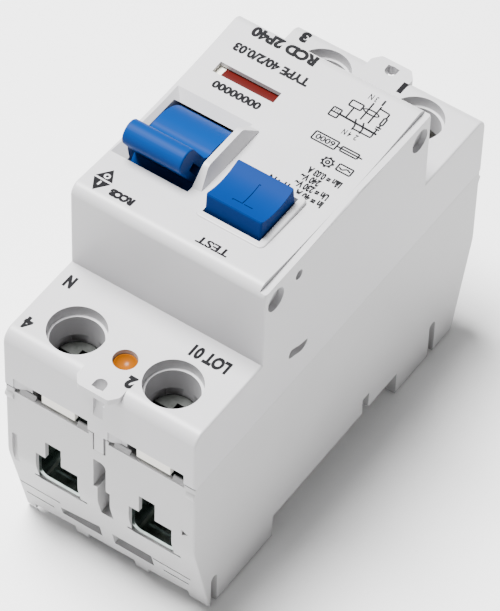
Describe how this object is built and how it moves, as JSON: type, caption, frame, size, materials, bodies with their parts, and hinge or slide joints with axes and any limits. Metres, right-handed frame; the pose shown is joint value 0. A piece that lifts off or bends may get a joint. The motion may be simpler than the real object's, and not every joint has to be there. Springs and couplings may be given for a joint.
{
  "type": "residual_current_device",
  "caption": "Two-pole residual current circuit breaker for rail mounting, light grey housing with blue toggle, blue test button, contact flag window and four lift-cage screw terminals",
  "frame": {"origin": "Bottom centre of the bounding box, on the rearmost plane of the housing", "axes": "+Z out of the front face, +X across the poles (to the right seen from the load end), +Y towards the line terminals 1 and 3"},
  "size_m": [0.0356, 0.0828, 0.0711],
  "materials": {
    "housing_base": "moulded thermoset, light grey",
    "housing_upper": "moulded thermoplastic, light grey",
    "amber_seal": "amber plug",
    "clip_plastic": "moulded, grey",
    "spring_steel": "drawn wire",
    "silver_contact": "silver alloy",
    "black_moulding": "black moulded",
    "pin_steel": "turned",
    "blue_toggle": "smooth moulded blue",
    "blue_button": "smooth moulded blue",
    "frame_steel": "stamped, zinc plated",
    "cream_plastic": "moulded, cream",
    "cream_guard": "moulded, cream",
    "red_foil": "printed foil",
    "green_foil": "printed foil",
    "ferrite": "nanocrystalline core, coated",
    "copper": "copper",
    "tinned_copper": "tinned copper bar",
    "copper_braid": "copper braid",
    "brass_strip": "spring bronze",
    "resistor_body": "lacquered resistor",
    "screw_steel": "zinc plated steel",
    "cage_steel": "plated steel"
  },
  "bodies": {
    "housing": {"base_housing": "housing_base", "upper_housing": "housing_upper", "seal_plug": "amber_seal", "rail_clip_spring": "spring_steel", "fixed_contacts": "silver_contact", "carrier_shaft": "pin_steel", "toggle_axle": "pin_steel", "toggle_spring": "spring_steel", "mechanism_frame": "frame_steel", "flag_axle": "pin_steel", "relay_case": "black_moulding", "trip_lever_pin": "pin_steel", "toroid_core": "ferrite", "toroid_winding": "copper", "test_spring": "spring_steel", "test_contact": "brass_strip", "test_resistor": "resistor_body", "terminal_guard_1": "cream_guard", "terminal_guard_2": "cream_guard", "terminal_guard_3": "cream_guard", "terminal_guard_4": "cream_guard", "line_conductor_1": "tinned_copper", "flexible_braid_1": "copper_braid", "line_conductor_3": "tinned_copper", "flexible_braid_3": "copper_braid", "load_conductor_2": "tinned_copper", "load_conductor_4": "tinned_copper"},
    "toggle": {"toggle": "blue_toggle", "crank_pin": "pin_steel"},
    "link": {"operating_link": "frame_steel"},
    "carrier": {"contact_carrier": "black_moulding", "contact_arm_1": "copper", "contact_arm_3": "copper", "moving_contacts": "silver_contact", "contact_springs": "spring_steel"},
    "flag": {"flag_drum": "cream_plastic", "flag_foil_on": "red_foil", "flag_foil_off": "green_foil"},
    "button": {"test_button": "blue_button"},
    "plunger": {"trip_plunger": "pin_steel"},
    "lever": {"trip_lever": "cream_plastic"},
    "clip": {"rail_clip": "clip_plastic"},
    "screw_1": {"terminal_screw_1": "screw_steel"},
    "cage_1": {"terminal_cage_1": "cage_steel"},
    "screw_2": {"terminal_screw_2": "screw_steel"},
    "cage_2": {"terminal_cage_2": "cage_steel"},
    "screw_3": {"terminal_screw_3": "screw_steel"},
    "cage_3": {"terminal_cage_3": "cage_steel"},
    "screw_4": {"terminal_screw_4": "screw_steel"},
    "cage_4": {"terminal_cage_4": "cage_steel"}
  },
  "joints": [
    {"name": "toggle_turn", "type": "hinge", "parent": "housing", "child": "toggle", "pos_m": [-0.0097, -0.0037, 0.0574], "axis": [-1, 0, 0], "range_deg": [0, 68]},
    {"name": "link_turn", "type": "hinge", "parent": "toggle", "child": "link", "pos_m": [-0.0097, -0.00062, 0.05284], "axis": [1, 0, 0], "range_deg": [0, 68]},
    {"name": "carrier_turn", "type": "hinge", "parent": "housing", "child": "carrier", "pos_m": [0, 0.006, 0.017], "axis": [1, 0, 0], "range_deg": [0, 24]},
    {"name": "flag_turn", "type": "hinge", "parent": "housing", "child": "flag", "pos_m": [-0.009, 0.0111, 0.0584], "axis": [1, 0, 0], "range_deg": [0, 60]},
    {"name": "button_press", "type": "slide", "parent": "housing", "child": "button", "axis": [0, 0, -1], "range_m": [0, 0.002], "stiffness_N_per_m": 400, "deforming": ["test_spring"]},
    {"name": "plunger_trip", "type": "slide", "parent": "housing", "child": "plunger", "axis": [-1, 0, 0], "range_m": [0, 0.0015]},
    {"name": "trip_lever_turn", "type": "hinge", "parent": "housing", "child": "lever", "pos_m": [-0.0017, -0.013, 0.0465], "axis": [0, 1, 0], "range_deg": [0, 11]},
    {"name": "clip_pull", "type": "slide", "parent": "housing", "child": "clip", "axis": [0, -1, 0], "range_m": [0, 0.003], "stiffness_N_per_m": 1500, "deforming": ["rail_clip_spring"]},
    {"name": "screw_turn_1", "type": "hinge", "parent": "housing", "child": "screw_1", "pos_m": [0.0089, 0.0331, 0.0408], "axis": [0, 0, -1], "range_deg": [0, 2700]},
    {"name": "cage_lift_1", "type": "slide", "parent": "housing", "child": "cage_1", "axis": [0, 0, 1], "range_m": [0, 0.006]},
    {"name": "screw_turn_2", "type": "hinge", "parent": "housing", "child": "screw_2", "pos_m": [0.0089, -0.0331, 0.0408], "axis": [0, 0, -1], "range_deg": [0, 2700]},
    {"name": "cage_lift_2", "type": "slide", "parent": "housing", "child": "cage_2", "axis": [0, 0, 1], "range_m": [0, 0.006]},
    {"name": "screw_turn_3", "type": "hinge", "parent": "housing", "child": "screw_3", "pos_m": [-0.0089, 0.0331, 0.0408], "axis": [0, 0, -1], "range_deg": [0, 2700]},
    {"name": "cage_lift_3", "type": "slide", "parent": "housing", "child": "cage_3", "axis": [0, 0, 1], "range_m": [0, 0.006]},
    {"name": "screw_turn_4", "type": "hinge", "parent": "housing", "child": "screw_4", "pos_m": [-0.0089, -0.0331, 0.0408], "axis": [0, 0, -1], "range_deg": [0, 2700]},
    {"name": "cage_lift_4", "type": "slide", "parent": "housing", "child": "cage_4", "axis": [0, 0, 1], "range_m": [0, 0.006]}
  ],
  "couplings": [
    {"joint": "link_turn", "follows": "toggle_turn", "ratio": 1},
    {"joint": "carrier_turn", "follows": "toggle_turn", "ratio": 0.35294},
    {"joint": "flag_turn", "follows": "toggle_turn", "ratio": 0.88235},
    {"joint": "trip_lever_turn", "follows": "plunger_trip", "rad_per_m": 125},
    {"joint": "screw_turn_1", "follows": "cage_lift_1", "rad_per_m": 7854},
    {"joint": "screw_turn_2", "follows": "cage_lift_2", "rad_per_m": 7854},
    {"joint": "screw_turn_3", "follows": "cage_lift_3", "rad_per_m": 7854},
    {"joint": "screw_turn_4", "follows": "cage_lift_4", "rad_per_m": 7854}
  ]
}
